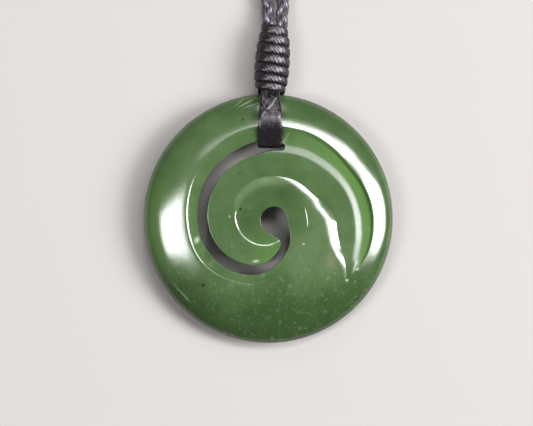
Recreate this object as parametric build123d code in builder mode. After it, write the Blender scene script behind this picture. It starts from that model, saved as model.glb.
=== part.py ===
from build123d import *

import os
from collections import namedtuple
from math import atan, cos, degrees, hypot, pi, radians, sin, sqrt, tan

# Koru pendant: a carved jade disc on a plaited neck cord, lying face up.
# Millimetres. +Z is up, +Y runs from the stone to its cord, and the floor is z = 0.
# The origin is on the floor under the centre of the stone's back.

# Jade disc
disc_diameter = 38.0
disc_thickness = 5.8
rim_height = 2.4  # widest line of the rim, above the back
face_flat_diameter = 18.0  # outside this the face falls to the rim in a quarter ellipse
back_flat_diameter = 31.0  # outside this the back turns up to the rim
hole_offset = 1.0  # from the disc's centre to the hole's, to the right

# Strap through the slit
strap_width = 3.8
strap_thickness = 0.75
strap_centre = 0.3  # to the right of the disc's centre
strap_bend = 0.5  # radius of its middle line at the two tight bends
strap_crest_bend = 3.5  # the same over the ring
under_rim_share = 0.89  # of the disc's radius, where the strap lifts off the floor

# Binding
binding_length = 10.2
binding_bore = 3.0
binding_mouth = 3.7  # diameter at the stone's end, where the strap goes in
mouth_depth = 0.8
binding_lean = 4.0  # degrees to the right
binding_dip = 5.0  # degrees down towards the neck cord
turn_rise = 0.34  # height of each turn's crown above the grooves beside it
rim_clearance = 0.25  # between the stone's rim and the binding

# Neck cord
cord_diameter = 1.9
squeezed_diameter = 1.4  # of each plait where the binding grips it
grip_length = 5.0  # how far each plait reaches into the binding
exit_gap = 0.15  # between the binding and each plait, which turns a little as it leaves
stub_overlap = 0.5  # how far a plait's squeezed end reaches into its full thickness
bend_share = 0.45  # of the shorter run at each bend that the bend's arc takes up

gap = 0.05  # clearance between neighbours
cutter_margin = 3.0  # how far the cutters reach past what they cut
quarter_turn = 90  # degrees

# Lines of the relief, a row for each radial section round the hole, anticlockwise from the
# lower right, where they fork, to the tip of the inner curl. Radii are shares of the disc's.
#   ring     inner edge of the outer ring
#   channel  foot of the ring's bevel
#   arm      outer edge of the scooped arm
#   fold     crease where the arm meets the stem
#   brow     where the stem's shoulder starts to fall to the fold
#   dish     edge of the dish round the hole
Lines = namedtuple("Lines", "angle ring channel arm fold brow dish")
RELIEF_LINES = [
    Lines(-41, 0.770, 0.765, 0.760, 0.755, 0.600, 0.310),
    Lines(-33, 0.772, 0.752, 0.734, 0.677, 0.560, 0.295),
    Lines(-24, 0.787, 0.745, 0.710, 0.588, 0.480, 0.280),
    Lines(-10, 0.793, 0.733, 0.682, 0.512, 0.415, 0.272),
    Lines(5, 0.785, 0.709, 0.658, 0.414, 0.345, 0.264),
    Lines(20, 0.760, 0.685, 0.634, 0.357, 0.315, 0.264),
    Lines(36, 0.732, 0.657, 0.607, 0.354, 0.312, 0.264),
    Lines(52, 0.736, 0.643, 0.592, 0.352, 0.312, 0.268),
    Lines(68, 0.745, 0.630, 0.586, 0.346, 0.311, 0.273),
    Lines(84, 0.743, 0.595, 0.572, 0.344, 0.312, 0.276),
    Lines(100, 0.750, 0.615, 0.560, 0.352, 0.316, 0.278),
    Lines(118, 0.748, 0.615, 0.557, 0.360, 0.323, 0.284),
    Lines(136, 0.731, 0.615, 0.567, 0.361, 0.329, 0.296),
    Lines(157, 0.725, 0.610, 0.566, 0.359, 0.335, 0.311),
    Lines(172, 0.710, 0.601, 0.563, 0.341, 0.328, 0.314),
    Lines(188, 0.697, 0.595, 0.550, 0.312, 0.305, 0.298),
    Lines(200, 0.690, 0.582, 0.535, 0.294, 0.288, 0.282),
    Lines(213, 0.667, 0.562, 0.509, 0.277, 0.271, 0.265),
    Lines(225, 0.634, 0.535, 0.482, 0.264, 0.258, 0.252),
    Lines(237, 0.593, 0.497, 0.448, 0.252, 0.246, 0.240),
    Lines(250, 0.555, 0.456, 0.410, 0.229, 0.223, 0.217),
    Lines(265, 0.480, 0.385, 0.340, 0.202, 0.196, 0.190),
    Lines(278, 0.390, 0.308, 0.262, 0.180, 0.174, 0.168),
    Lines(292, 0.310, 0.245, 0.215, 0.160, 0.154, 0.148),
]

# Depths of the same sections below the uncut face, as shares of the disc's thickness. Hub is
# the dish's depth at the hole. A negative depth lies above the face, where a line has run out.
Cuts = namedtuple("Cuts", "channel arm fold brow dish hub")
RELIEF_CUTS = [
    Cuts(-0.010, -0.010, -0.010, -0.010, -0.010, -0.010),
    Cuts(0.110, 0.050, 0.100, 0.015, 0.015, 0.020),
    Cuts(0.170, 0.080, 0.150, 0.020, 0.020, 0.050),
    Cuts(0.210, 0.090, 0.180, 0.030, 0.025, 0.090),
    Cuts(0.220, 0.090, 0.190, 0.040, 0.030, 0.110),
    Cuts(0.220, 0.090, 0.190, 0.050, 0.030, 0.120),
    Cuts(0.230, 0.090, 0.190, 0.050, 0.030, 0.120),
    Cuts(0.230, 0.090, 0.190, 0.050, 0.030, 0.120),
    Cuts(0.230, 0.090, 0.190, 0.050, 0.030, 0.120),
    Cuts(0.235, 0.100, 0.185, 0.050, 0.030, 0.120),
    Cuts(0.240, 0.110, 0.180, 0.050, 0.030, 0.120),
    Cuts(0.240, 0.120, 0.170, 0.050, 0.030, 0.120),
    Cuts(0.220, 0.130, 0.150, 0.050, 0.030, 0.120),
    Cuts(0.210, 0.140, 0.120, 0.050, 0.035, 0.120),
    Cuts(0.200, 0.150, 0.090, 0.050, 0.040, 0.120),
    Cuts(0.190, 0.160, 0.070, 0.055, 0.050, 0.120),
    Cuts(0.180, 0.170, 0.065, 0.060, 0.060, 0.120),
    Cuts(0.170, 0.190, 0.070, 0.065, 0.065, 0.120),
    Cuts(0.150, 0.210, 0.075, 0.070, 0.070, 0.120),
    Cuts(0.110, 0.230, 0.080, 0.082, 0.086, 0.120),
    Cuts(0.060, 0.250, 0.090, 0.092, 0.096, 0.130),
    Cuts(0.020, 0.270, 0.110, 0.112, 0.116, 0.140),
    Cuts(-0.010, 0.280, 0.130, 0.132, 0.136, 0.150),
    Cuts(-0.010, 0.290, 0.150, 0.152, 0.156, 0.165),
]
hub_share = 0.05  # radius inside the hole where the relief ends
ring_overrun = 0.03  # how far the relief's cutter reaches past the ring's edge
overrun_lift = 0.06  # height of the cutter's end over the face there, in mm

# Walls of the opening, round the hole's centre. The outer wall runs anticlockwise from the
# slit's upper end, round the outside of the slit and into the hole, to the tip of the curl.
# The inner wall is the outside of the curl. Radii are shares of the disc's.
Wall = namedtuple("Wall", "angle radius")
OUTER_WALL = [
    Wall(82, 0.607),
    Wall(92, 0.620),
    Wall(103, 0.636),
    Wall(118, 0.634),
    Wall(136, 0.635),
    Wall(157, 0.631),
    Wall(172, 0.621),
    Wall(188, 0.615),
    Wall(200, 0.602),
    Wall(213, 0.583),
    Wall(225, 0.556),
    Wall(237, 0.519),
    Wall(250, 0.474),
    Wall(265, 0.405),
    Wall(278, 0.333),
    Wall(290, 0.277),
    Wall(302, 0.227),
    Wall(315, 0.176),
    Wall(330, 0.130),
    Wall(345, 0.111),
    Wall(365, 0.104),
    Wall(410, 0.101),
    Wall(455, 0.103),
    Wall(500, 0.110),
    Wall(545, 0.116),
    Wall(580, 0.122),
    Wall(605, 0.125),
    Wall(625, 0.138),
    Wall(642, 0.165),
]
INNER_WALL = [
    Wall(286, 0.190),
    Wall(278, 0.244),
    Wall(269, 0.292),
    Wall(261, 0.341),
    Wall(250, 0.388),
    Wall(237, 0.427),
    Wall(225, 0.461),
    Wall(213, 0.489),
    Wall(200, 0.515),
    Wall(188, 0.530),
    Wall(172, 0.543),
    Wall(157, 0.546),
    Wall(136, 0.547),
    Wall(118, 0.537),
    Wall(103, 0.537),
    Wall(92, 0.546),
    Wall(82, 0.556),
]

# Middle line of the strap over the ring, from the slit outwards, on the stone: distance from
# the disc's centre and height over its back, as shares of its radius and its thickness.
Crossing = namedtuple("Crossing", "distance height")
STRAP_OVER_RING = [
    Crossing(0.579, 0.818),
    Crossing(0.789, 1.070),
    Crossing(0.958, 0.800),
]

# Turns of the binding from the stone's end: place of the crown along it and the crown's
# diameter, as shares of its length and of its bore.
Turn = namedtuple("Turn", "place crown")
TURNS = [
    Turn(0.07, 1.54),
    Turn(0.19, 1.76),
    Turn(0.33, 1.80),
    Turn(0.48, 1.80),
    Turn(0.63, 1.74),
    Turn(0.78, 1.62),
    Turn(0.92, 1.36),
]

# Route of each plait from just past the binding to the far side of the loop, where they meet
LEFT_ROUTE = [
    (-0.15, 33.50, 1.70),
    (-0.70, 39.00, 0.95),
    (-2.60, 46.00, 0.95),
    (-9.00, 58.00, 0.95),
    (-24.00, 77.00, 0.95),
    (-48.00, 101.00, 0.95),
    (-75.00, 133.00, 0.95),
    (-93.00, 172.00, 0.95),
    (-97.00, 214.00, 0.95),
    (-81.00, 251.00, 0.95),
    (-48.00, 276.00, 0.95),
    (-10.00, 284.00, 0.95),
]
RIGHT_ROUTE = [
    (2.25, 33.50, 1.70),
    (2.90, 39.00, 0.95),
    (5.20, 46.00, 0.95),
    (12.00, 58.00, 0.95),
    (28.00, 76.00, 0.95),
    (52.00, 99.00, 0.95),
    (79.00, 130.00, 0.95),
    (97.00, 168.00, 0.95),
    (101.00, 210.00, 0.95),
    (88.00, 248.00, 0.95),
    (59.00, 275.50, 0.95),
    (24.00, 291.16, 0.95),
    (-10.00, 284.00, 0.95),
]

disc_radius = disc_diameter / 2
face_flat_radius = face_flat_diameter / 2
back_flat_radius = back_flat_diameter / 2
strap_y = disc_radius * STRAP_OVER_RING[0].distance  # its middle where it passes the slit

# The stone leans on its back's lower edge and on the strap, which lies under its upper part.
tilt = degrees(atan((strap_thickness + gap) / (strap_y + back_flat_radius)))
back_edge_drop = hypot(
    (disc_radius - back_flat_radius) * sin(radians(tilt)),
    rim_height * cos(radians(tilt)),
)
back_height = (
    back_flat_radius * sin(radians(tilt)) - rim_height * cos(radians(tilt)) + back_edge_drop
)
stone_plane = Plane(
    origin=(0, 0, back_height),
    x_dir=(1, 0, 0),
    z_dir=(0, -sin(radians(tilt)), cos(radians(tilt))),
)


# The binding's middle line starts at the stone's rim and dips until its turns meet the floor.
binding_start_height = max(
    turn.crown * binding_bore / 2 / cos(radians(binding_dip))
    + turn.place * binding_length * sin(radians(binding_dip))
    for turn in TURNS
)
binding_direction = Vector(0, 1, 0).rotate(Axis.X, -binding_dip).rotate(Axis.Z, -binding_lean)
binding_across = Vector(1, 0, 0).rotate(Axis.Z, -binding_lean)
binding_plane = Plane(
    origin=(strap_centre, disc_radius + rim_clearance, binding_start_height),
    x_dir=binding_across,
    z_dir=binding_direction,
)
binding_axis = Axis(binding_plane.origin, binding_direction)
binding_side = Plane(
    origin=binding_plane.origin,
    x_dir=binding_across,
    z_dir=binding_across.cross(binding_direction),
)
core_length = binding_length - grip_length - mouth_depth

strap_radii = [strap_crest_bend, strap_bend, strap_bend, strap_crest_bend, strap_crest_bend]


def face_height(x, y):
    """Height of the uncut face above the stone's back, at a place on the stone."""
    past_flat = max(0.0, hypot(x, y) - face_flat_radius)
    share = min(1.0, past_flat / (disc_radius - face_flat_radius))
    return rim_height + (disc_thickness - rim_height) * sqrt(1 - share**2)


def face_at(angle, radius):
    """Height of the uncut face at a place given round the hole's centre."""
    return face_height(
        hole_offset + radius * cos(radians(angle)),
        radius * sin(radians(angle)),
    )


def radial_plane(angle):
    """Plane through the hole's axis: its x runs outwards and its y up through the stone."""
    turned = stone_plane.x_dir.rotate(Axis((0, 0, 0), stone_plane.z_dir), angle)
    return Plane(
        origin=stone_plane.from_local_coords((hole_offset, 0, 0)),
        x_dir=turned,
        z_dir=turned.cross(stone_plane.z_dir),
    )


def relief_section(lines, cuts):
    """Corners of the space above the relief in one radial section, from the ring inwards."""
    top = disc_thickness + cutter_margin
    radii = [lines.channel, lines.arm, lines.fold, lines.brow, lines.dish, hub_share]
    floor = [
        (share * disc_radius, face_at(lines.angle, share * disc_radius) - cut * disc_thickness)
        for share, cut in zip(radii, cuts)
    ]
    edge_radius = lines.ring * disc_radius
    edge_height = face_at(lines.angle, edge_radius)
    foot_radius, foot_height = floor[0]
    overrun = ring_overrun * disc_radius
    slope = (edge_height - foot_height) / (edge_radius - foot_radius)
    past_edge = face_at(lines.angle, edge_radius + overrun)
    end_height = max(edge_height + slope * overrun, past_edge + overrun_lift)
    outer = (edge_radius + overrun, end_height)
    return [(outer[0], top), outer] + floor + [(floor[-1][0], top)]


def wall_points(rows):
    """Places on the stone of an opening's wall."""
    return [
        (
            hole_offset + disc_radius * row.radius * cos(radians(row.angle)),
            disc_radius * row.radius * sin(radians(row.angle)),
        )
        for row in rows
    ]


def strap_route():
    """Middle line of the strap in the plane across the ring, from core to core."""
    floor_height = strap_thickness / 2
    core = binding_plane.origin + binding_direction * mouth_depth
    core_offset = (binding_bore - strap_thickness) / 2 - gap
    under_rim = disc_radius * under_rim_share
    slit_foot = stone_plane.from_local_coords((0, strap_y, 0))
    over_ring = [
        stone_plane.from_local_coords(
            (0, place.distance * disc_radius, place.height * disc_thickness)
        )
        for place in STRAP_OVER_RING
    ]
    return [
        (core.Y, core.Z - core_offset),
        (under_rim, floor_height),
        (slit_foot.Y, floor_height),
        *[(point.Y, point.Z) for point in over_ring],
        (core.Y, core.Z + core_offset),
    ]


def turn_crowns():
    """Crown of each turn, across and along the binding's middle line."""
    return [(turn.crown * binding_bore / 2, turn.place * binding_length) for turn in TURNS]


def turn_grooves(crowns):
    """Bottoms of the grooves before, between and after the turns."""
    first, last = crowns[0], crowns[-1]
    between = [
        ((a[0] + b[0]) / 2 - turn_rise, (a[1] + b[1]) / 2)
        for a, b in zip(crowns, crowns[1:])
    ]
    return [(first[0] - turn_rise, 0), *between, (last[0] - turn_rise, binding_length)]


def bend_radii(points):
    """As large an arc at each bend as its two runs allow."""
    radii = []
    for before, corner, after in zip(points, points[1:], points[2:]):
        run_in, run_out = corner - before, after - corner
        half_turn = radians(run_in.get_angle(run_out)) / 2
        radii.append(bend_share * min(run_in.length, run_out.length) / tan(half_turn))
    return radii


# Jade disc: the turned blank, its relief, then the slit and hole in one opening
with BuildPart() as blank:
    with BuildSketch(radial_plane(0).shift_origin(stone_plane.origin)):
        with BuildLine():
            Line((0, 0), (back_flat_radius, 0))
            EllipticalCenterArc(
                (back_flat_radius, rim_height),
                disc_radius - back_flat_radius,
                rim_height,
                start_angle=-quarter_turn,
                arc_size=quarter_turn,
            )
            EllipticalCenterArc(
                (face_flat_radius, rim_height),
                disc_radius - face_flat_radius,
                disc_thickness - rim_height,
                start_angle=0,
                arc_size=quarter_turn,
            )
            Polyline((face_flat_radius, disc_thickness), (0, disc_thickness), (0, 0))
        make_face()
    revolve(axis=Axis(stone_plane.origin, stone_plane.z_dir))

with BuildPart() as relief:
    for lines, cuts in zip(RELIEF_LINES, RELIEF_CUTS):
        with BuildSketch(radial_plane(lines.angle)):
            Polygon(*relief_section(lines, cuts), align=None)
    loft()

with BuildPart() as opening:
    with BuildSketch(stone_plane.offset(-cutter_margin)):
        with BuildLine():
            outer_wall = Spline(*wall_points(OUTER_WALL))
            inner_wall = Spline(*wall_points(INNER_WALL))
            Line(outer_wall @ 1, inner_wall @ 0)
            Line(inner_wall @ 1, outer_wall @ 0)
        make_face()
    extrude(amount=disc_thickness + 2 * cutter_margin)

with BuildPart() as koru_disc:
    add(blank.part)
    add(relief.part, mode=Mode.SUBTRACT)
    add(opening.part, mode=Mode.SUBTRACT)
koru_disc.part.label = "koru_disc"

# Strap: a flat band through the slit whose two ends run into a round core in the binding
with BuildPart() as cord_bail:
    with BuildSketch(Plane.YZ.offset(strap_centre)):
        with BuildLine() as strap_line:
            FilletPolyline(*strap_route(), radius=strap_radii)
        trace(strap_line.line, strap_thickness)
    extrude(amount=strap_width / 2, both=True)
    with BuildSketch(binding_plane.offset(mouth_depth / 2)):
        Circle(binding_bore / 2 - gap)
    extrude(amount=core_length)
    with BuildSketch(binding_side):
        with BuildLine():
            Polyline(
                (binding_mouth / 2 - gap, -gap),
                (binding_bore / 2 - gap, mouth_depth),
                (binding_bore / 2 - gap, binding_length),
                (binding_bore / 2 + cutter_margin, binding_length),
                (binding_bore / 2 + cutter_margin, -gap),
                close=True,
            )
        make_face()
    revolve(axis=binding_axis, mode=Mode.SUBTRACT)
cord_bail.part.label = "cord_bail"

# Binding: the turns of a whipping, bored for the strap's core and the two plaits
with BuildPart() as binding:
    with BuildSketch(binding_side):
        with BuildLine():
            crowns = turn_crowns()
            grooves = turn_grooves(crowns)
            for before, crown, after in zip(grooves, crowns, grooves[1:]):
                ThreePointArc(before, crown, after)
            Polyline(
                grooves[-1],
                (binding_bore / 2, binding_length),
                (binding_bore / 2, mouth_depth),
                (binding_mouth / 2, 0),
                grooves[0],
            )
        make_face()
    revolve(axis=binding_axis)
binding.part.label = "binding"

# Neck cord: two plaits that leave the binding side by side and meet at the loop's far side
cord_parts = []
for side, name, route in [(-1, "neck_cord_left", LEFT_ROUTE), (1, "neck_cord_right", RIGHT_ROUTE)]:
    grip_offset = side * (squeezed_diameter / 2 + gap)
    exit_offset = side * (cord_diameter + gap) / 2
    exit_point = binding_plane.from_local_coords((exit_offset, 0, binding_length + exit_gap))
    points = [exit_point] + [Vector(point) for point in route]
    radii = bend_radii(points)
    print(name, "radii", [round(radius, 1) for radius in radii])
    with BuildPart() as neck_cord:
        with BuildLine() as cord_line:
            FilletPolyline(*points, radius=radii)
        path = cord_line.wires()[0]
        with BuildSketch(Plane(path @ 0, z_dir=path % 0)):
            Circle(cord_diameter / 2)
        sweep(path=path)
        straight_volume = pi * cord_diameter**2 / 4 * path.length
        print(name, "length", round(path.length, 1))
        print(name, "volume over section times length", neck_cord.part.volume / straight_volume)
        with BuildSketch(binding_plane.offset(binding_length - grip_length)):
            with Locations((grip_offset, 0)):
                Circle(squeezed_diameter / 2)
        extrude(amount=grip_length + exit_gap + stub_overlap)
    neck_cord.part.label = name
    cord_parts.append(neck_cord.part)

os.makedirs("parts", exist_ok=True)
for part in [koru_disc.part, cord_bail.part, binding.part] + cord_parts:
    export_step(part, f"parts/{part.label}.step")
print("tilt of the stone", round(tilt, 2), "degrees")
print("height of the stone's back at its centre", round(back_height, 4))
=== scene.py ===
"""Looks of the koru pendant: carved jade, a whipped binding, a strap and two plaits."""

from collections import namedtuple
from math import atan, cos, hypot, pi, radians, sin, tan

import bpy
import numpy as np
from mathutils import Matrix, Vector
from mathutils.geometry import delaunay_2d_cdt
from mathutils.kdtree import KDTree


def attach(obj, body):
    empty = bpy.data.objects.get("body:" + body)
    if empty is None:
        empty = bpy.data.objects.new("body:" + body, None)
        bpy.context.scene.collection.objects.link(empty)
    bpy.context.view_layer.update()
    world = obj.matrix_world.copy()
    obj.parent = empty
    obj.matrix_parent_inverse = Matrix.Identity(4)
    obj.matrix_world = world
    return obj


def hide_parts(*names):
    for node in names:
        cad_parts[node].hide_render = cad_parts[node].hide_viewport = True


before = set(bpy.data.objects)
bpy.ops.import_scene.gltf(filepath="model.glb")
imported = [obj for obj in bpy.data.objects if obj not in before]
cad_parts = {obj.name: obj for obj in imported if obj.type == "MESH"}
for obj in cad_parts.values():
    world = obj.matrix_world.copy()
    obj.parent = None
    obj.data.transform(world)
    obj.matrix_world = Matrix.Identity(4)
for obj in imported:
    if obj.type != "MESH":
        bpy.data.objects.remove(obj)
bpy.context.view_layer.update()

# Shapes are worked out in millimetres, in the row's frame, and made in metres.
MM = 0.001

# Photograph's frame, on the plane of the stone's widest line
view_centre = (-0.27, 0.79)
view_width = 81.34
camera_distance = 800.0
sensor_width = 36.0

# Jade disc
disc_diameter = 38.0
disc_thickness = 5.8
rim_height = 2.4
face_flat_diameter = 18.0
back_flat_diameter = 31.0
hole_offset = 1.0
edge_round = 0.04  # of the opening's edges on the face
back_edge_round = 0.25

# Mesh of the disc
columns = 640
full_columns_radius = 8.0  # from here on out every column has a point
half_columns_radius = 4.0
rim_steps = 24
fold_row_gap = 0.05
lip_row_share = 0.5  # most of a band that its closer rows take
row_share = 0.4
wall_spacing = 0.18
close_spacing = 0.04
corner_passes = 6  # of smoothing that round the opening's corners
face_wall_rows = (0.015, 0.04, 0.1, 0.2)  # distances of rows of points from the wall
back_wall_rows = (0.07, 0.16, 0.27)
least_row_share = 0.93  # of such a distance, for a point that is kept
face_grid_gap = 0.34  # from the wall to the grid
back_grid_gap = 0.5
wall_levels = (0.01, 0.04, 0.15, 0.35, 0.65, 0.9, 0.98)  # shares of the way down it
back_flat_rings = 13
back_turned_rings = 9
back_turned_points = 240
back_spacing = 1.1
back_least_points = 8
merge_distance = 1e-7

# Strap
strap_thickness = 0.75
strap_centre = 0.3
strap_bend = 0.5
strap_crest_bend = 3.5
under_rim_share = 0.89
arc_steps = 12

# Binding
binding_length = 10.2
binding_bore = 3.0
mouth_depth = 0.8
binding_lean = 4.0
binding_dip = 5.0
rim_clearance = 0.25

# Neck cord
cord_diameter = 1.9
exit_gap = 0.15
gap = 0.05


def table(kind, rows):
    """Columns of a table: degrees, and then thousandths of what its heading says."""
    degrees, *others = np.array(rows, float).T
    return kind(degrees, *(column / 1000 for column in others))


# Lines of the relief round the hole, anticlockwise from the lower right: degrees, and radii as
# shares of the disc's. They refine the lines that part.py cuts.
Lines = namedtuple("Lines", "angle ring foot arm fold brow dish")
RELIEF_LINES = table(Lines, [
    (-41, 770, 765, 762, 755, 650, 310),
    (-33, 772, 760, 734, 671, 545, 295),
    (-24, 787, 771, 707, 580, 440, 280),
    (-10, 793, 773, 683, 505, 360, 272),
    (-3, 790, 770, 671, 493, 350, 268),
    (5, 785, 765, 659, 468, 330, 264),
    (20, 760, 738, 637, 402, 295, 262),
    (36, 732, 708, 609, 360, 298, 263),
    (52, 736, 708, 588, 352, 302, 268),
    (68, 745, 710, 578, 346, 305, 273),
    (84, 743, 695, 569, 344, 306, 276),
    (100, 750, 616, 560, 352, 312, 278),
    (118, 748, 611, 557, 360, 320, 284),
    (136, 731, 611, 567, 361, 326, 296),
    (157, 725, 606, 566, 359, 336, 312),
    (172, 710, 601, 563, 341, 334, 324),
    (188, 697, 593, 550, 324, 320, 314),
    (200, 690, 600, 535, 311, 307, 302),
    (213, 667, 645, 509, 295, 291, 286),
    (225, 634, 620, 482, 277, 273, 268),
    (237, 593, 585, 448, 259, 255, 250),
    (250, 555, 551, 410, 238, 234, 229),
    (265, 480, 472, 340, 215, 211, 206),
    (278, 390, 383, 262, 194, 190, 185),
    (292, 310, 304, 215, 174, 170, 165),
])

# Depths of three of these lines below the uncut face, and the height of the step at the
# dish's edge, as shares of the disc's thickness
Cuts = namedtuple("Cuts", "angle foot arm dish lip")
RELIEF_CUTS = table(Cuts, [
    (-41, 0, 0, 0, 0),
    (-33, 4, 6, 1, 0),
    (-24, 42, 62, 3, 3),
    (-10, 83, 105, 6, 6),
    (-3, 100, 122, 8, 7),
    (5, 117, 140, 10, 7),
    (20, 104, 118, 13, 5),
    (36, 88, 93, 16, 2),
    (52, 72, 84, 19, 1),
    (68, 60, 71, 22, 1),
    (82, 66, 64, 24, 1),
    (88, 160, 61, 24, 1),
    (100, 200, 50, 24, 1),
    (118, 260, 50, 24, 1),
    (136, 310, 55, 24, 4),
    (157, 340, 55, 24, 11),
    (172, 340, 60, 25, 14),
    (188, 320, 60, 28, 15),
    (200, 250, 65, 34, 15),
    (213, 60, 80, 40, 12),
    (225, 36, 100, 45, 10),
    (237, 18, 120, 55, 9),
    (250, 5, 135, 65, 9),
    (265, 2, 155, 80, 9),
    (278, 0, 170, 95, 9),
    (292, 0, 190, 110, 9),
])

# How steeply the surface falls outwards on three lines and towards the hole in the bowl, as
# rise over run, and half the width in mm of the ring's rounded edge
Slopes = namedtuple("Slopes", "angle arm fold brow bowl crest")
RELIEF_SLOPES = table(Slopes, [
    (-41, 100, 0, 0, 0, 80),
    (-33, 20, 100, 20, 0, 80),
    (-24, 220, 300, 50, 0, 80),
    (-10, 440, 380, 80, 0, 80),
    (-3, 440, 440, 100, 0, 80),
    (5, 440, 500, 110, 0, 80),
    (20, 380, 450, 120, 3, 80),
    (36, 310, 360, 150, 10, 80),
    (52, 270, 320, 150, 22, 80),
    (68, 230, 240, 110, 26, 80),
    (84, 200, 160, 80, 30, 80),
    (100, 80, 100, 60, 30, 120),
    (118, 60, 80, 50, 30, 200),
    (157, 60, 60, 40, 30, 250),
    (188, 60, 10, 10, 30, 250),
    (213, 70, 0, 0, 30, 180),
    (225, 70, 0, 0, 30, 100),
    (237, 80, 0, 0, 30, 60),
    (292, 100, 0, 0, 30, 50),
])
lip_width = 0.26
arm_edge_inside = 0.8
arm_edge_outside = 0.55
arm_edge_share = 0.45  # most of the scoop or the floor that the arm's edge takes
arm_edge_slope = 0.05
dome_slope = 0.2
steepest_crest = 1.6
full_crest_cut = 0.5
hub_radius = 0.95
slit_start = (86, 98)  # degrees over which it opens

# Walls of the slit and the hole, in one loop round the hole's centre: degrees, and radii
# as shares of the disc's
Wall = namedtuple("Wall", "angle radius")
OUTER_WALL = table(Wall, [
    (82, 607), (92, 620), (103, 636), (118, 634), (136, 635), (157, 631), (172, 621),
    (188, 615), (200, 602), (213, 583), (225, 556), (237, 519), (250, 474), (265, 405),
    (278, 333), (290, 277), (302, 227), (315, 176), (330, 130), (345, 111), (365, 104),
    (410, 101), (455, 103), (500, 110), (545, 116), (580, 122), (605, 125), (625, 138),
    (642, 165),
])
INNER_WALL = table(Wall, [
    (286, 190), (278, 244), (269, 292), (261, 341), (250, 388), (237, 427), (225, 461),
    (213, 489), (200, 515), (188, 530), (172, 543), (157, 546), (136, 547), (118, 537),
    (103, 537), (92, 546), (82, 556),
])

# Middle line of the strap over the ring: distance and height, as shares of the disc's radius
# and thickness
STRAP_OVER_RING = [(0.579, 0.818), (0.789, 1.070), (0.958, 0.800)]

# Turns of the binding: place along it and crown, as shares of its length and its bore
TURNS = [
    (0.07, 1.54), (0.19, 1.76), (0.33, 1.80), (0.48, 1.80), (0.63, 1.74), (0.78, 1.62),
    (0.92, 1.36),
]

# Routes of the two plaits
LEFT_ROUTE = [
    (-0.15, 33.5, 1.7), (-0.7, 39, 0.95), (-2.6, 46, 0.95), (-9, 58, 0.95), (-24, 77, 0.95),
    (-48, 101, 0.95), (-75, 133, 0.95), (-93, 172, 0.95), (-97, 214, 0.95), (-81, 251, 0.95),
    (-48, 276, 0.95), (-10, 284, 0.95),
]
RIGHT_ROUTE = [
    (2.25, 33.5, 1.7), (2.9, 39, 0.95), (5.2, 46, 0.95), (12, 58, 0.95), (28, 76, 0.95),
    (52, 99, 0.95), (79, 130, 0.95), (97, 168, 0.95), (101, 210, 0.95), (88, 248, 0.95),
    (59, 275.5, 0.95), (24, 291.16, 0.95), (-10, 284, 0.95),
]

disc_radius = disc_diameter / 2
face_flat_radius = face_flat_diameter / 2
back_flat_radius = back_flat_diameter / 2


def vector(*values):
    return np.array(values, float)


# Camera, straight over the stone
camera_data = bpy.data.cameras.new("camera")
camera_data.sensor_width = sensor_width
camera_data.lens = sensor_width * camera_distance / view_width
camera_data.clip_start = 0.05
camera = bpy.data.objects.new("camera", camera_data)
camera.location = vector(*view_centre, camera_distance + rim_height) * MM
bpy.context.scene.collection.objects.link(camera)
bpy.context.scene.camera = camera


# Where the stone, the strap and the binding lie
strap_y = disc_radius * STRAP_OVER_RING[0][0]
tilt = atan((strap_thickness + gap) / (strap_y + back_flat_radius))
back_edge_drop = hypot((disc_radius - back_flat_radius) * sin(tilt), rim_height * cos(tilt))
back_height = back_flat_radius * sin(tilt) - rim_height * cos(tilt) + back_edge_drop

lean, dip = radians(binding_lean), radians(binding_dip)
start_height = max(
    crown * binding_bore / 2 / cos(dip) + place * binding_length * sin(dip)
    for place, crown in TURNS
)
binding_start = vector(strap_centre, disc_radius + rim_clearance, start_height)
binding_along = vector(cos(dip) * sin(lean), cos(dip) * cos(lean), -sin(dip))
binding_across = vector(cos(lean), -sin(lean), 0)
binding_up = np.cross(binding_across, binding_along)


def on_stone(x, y, z):
    """Row frame places, in mm, of places on the stone, which leans on its strap."""
    height = back_height + y * sin(tilt) + z * cos(tilt)
    return np.stack([x, y * cos(tilt) - z * sin(tilt), height], axis=-1)


def on_binding(across, along, up):
    """Row frame place, in mm, of a place round the binding's middle line."""
    return binding_start + across * binding_across + along * binding_along + up * binding_up


def cubic(t, span, start, end, start_slope, end_slope):
    """Value at a share t of a span, on a cubic with its value and slope at both ends."""
    return (
        (1 + 2 * t) * (1 - t) ** 2 * start
        + t * (1 - t) ** 2 * span * start_slope
        + t * t * (3 - 2 * t) * end
        + t * t * (t - 1) * span * end_slope
    )


def smooth_table(places, values, wanted):
    """Values between the rows of a table, on a cubic through them."""
    slopes = np.gradient(values, places)
    row = np.clip(np.searchsorted(places, wanted, side="right") - 1, 0, len(places) - 2)
    span = places[row + 1] - places[row]
    t = np.clip((wanted - places[row]) / span, 0, 1)
    return cubic(t, span, values[row], values[row + 1], slopes[row], slopes[row + 1])


def fade(values, start, end):
    """Rises smoothly from 0 at the start to 1 at the end."""
    share = np.clip((values - start) / (end - start), 0, 1)
    return share * share * (3 - 2 * share)


def unit(vectors):
    """Rows of vectors, each made one long."""
    return vectors / np.linalg.norm(vectors, axis=1)[:, None]


def lengths_along(line):
    """Length of a line up to each of its points."""
    return np.concatenate([[0], np.cumsum(np.linalg.norm(np.diff(line, axis=0), axis=1))])


def even_points(points, spacing, closed=False):
    """The same line with its points a given length apart."""
    points = np.asarray(points, float)
    if closed:
        points = np.vstack([points, points[:1]])
    along = lengths_along(points)
    count = max(2, int(round(along[-1] / spacing)) + 1)
    wanted = np.linspace(0, along[-1], count)
    line = np.stack([np.interp(wanted, along, column) for column in points.T], axis=1)
    return line[:-1] if closed else line


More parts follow.
